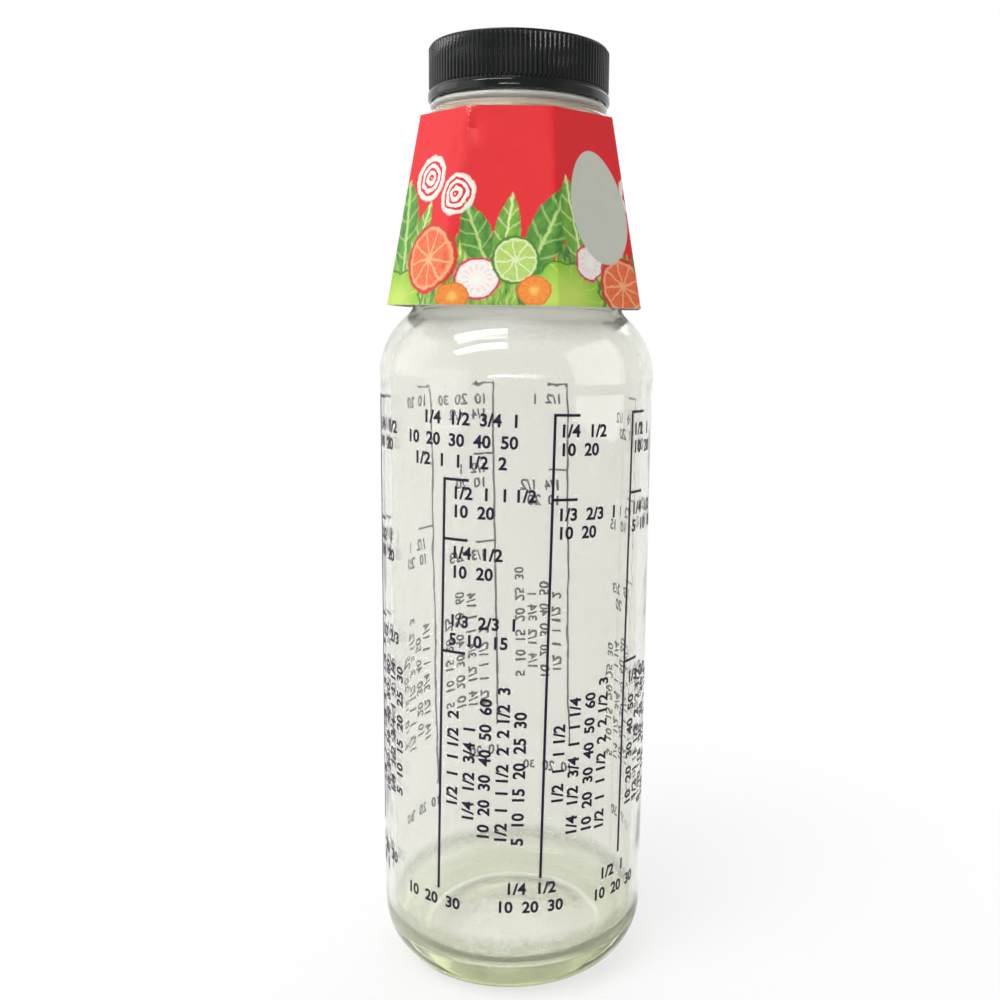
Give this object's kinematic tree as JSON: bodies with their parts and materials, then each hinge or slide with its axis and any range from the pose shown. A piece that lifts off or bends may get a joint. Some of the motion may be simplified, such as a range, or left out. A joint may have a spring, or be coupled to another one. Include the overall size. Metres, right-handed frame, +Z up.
{
  "type": "bottle",
  "caption": "Round clear glass mixing bottle with a tapered neck, ribbed black screw cap, eight-sided printed board sleeve and fill scales.",
  "frame": {"origin": "centre of the base, on the surface it stands on", "axes": "+Z up the bottle's axis, front facing -Y"},
  "size_m": [0.0642, 0.0642, 0.2152],
  "materials": {
    "glass": "clear, faint green",
    "cap_plastic": "satin",
    "liner": "matt",
    "printed_board": "coated print",
    "plain_board": "matt",
    "enamel": "fired enamel"
  },
  "bodies": {
    "bottle": {"glass_bottle": "glass", "scale_1": "enamel", "scale_2": "enamel", "scale_3": "enamel", "scale_4": "enamel", "scale_5": "enamel", "scale_6": "enamel", "scale_7": "enamel", "scale_8": "enamel"},
    "liner": {"cap_liner": "liner"},
    "cap": {"screw_cap": "cap_plastic"},
    "sleeve": {"paper_sleeve": "printed_board", "sleeve_glue_flap": "plain_board"}
  },
  "joints": [
    {"name": "cap_rise", "type": "slide", "parent": "bottle", "child": "liner", "axis": [0, 0, 1], "range_m": [0, 0.01694]},
    {"name": "cap_turn", "type": "hinge", "parent": "liner", "child": "cap", "pos_m": [0, 0, 0.2021], "axis": [0, 0, 1], "range_deg": [0, 1440]},
    {"name": "sleeve_lift", "type": "slide", "parent": "bottle", "child": "sleeve", "axis": [0, 0, 1], "range_m": [0, 0.06]}
  ],
  "couplings": [
    {"joint": "cap_rise", "follows": "cap_turn", "m_per_rad": 0.0006737}
  ]
}
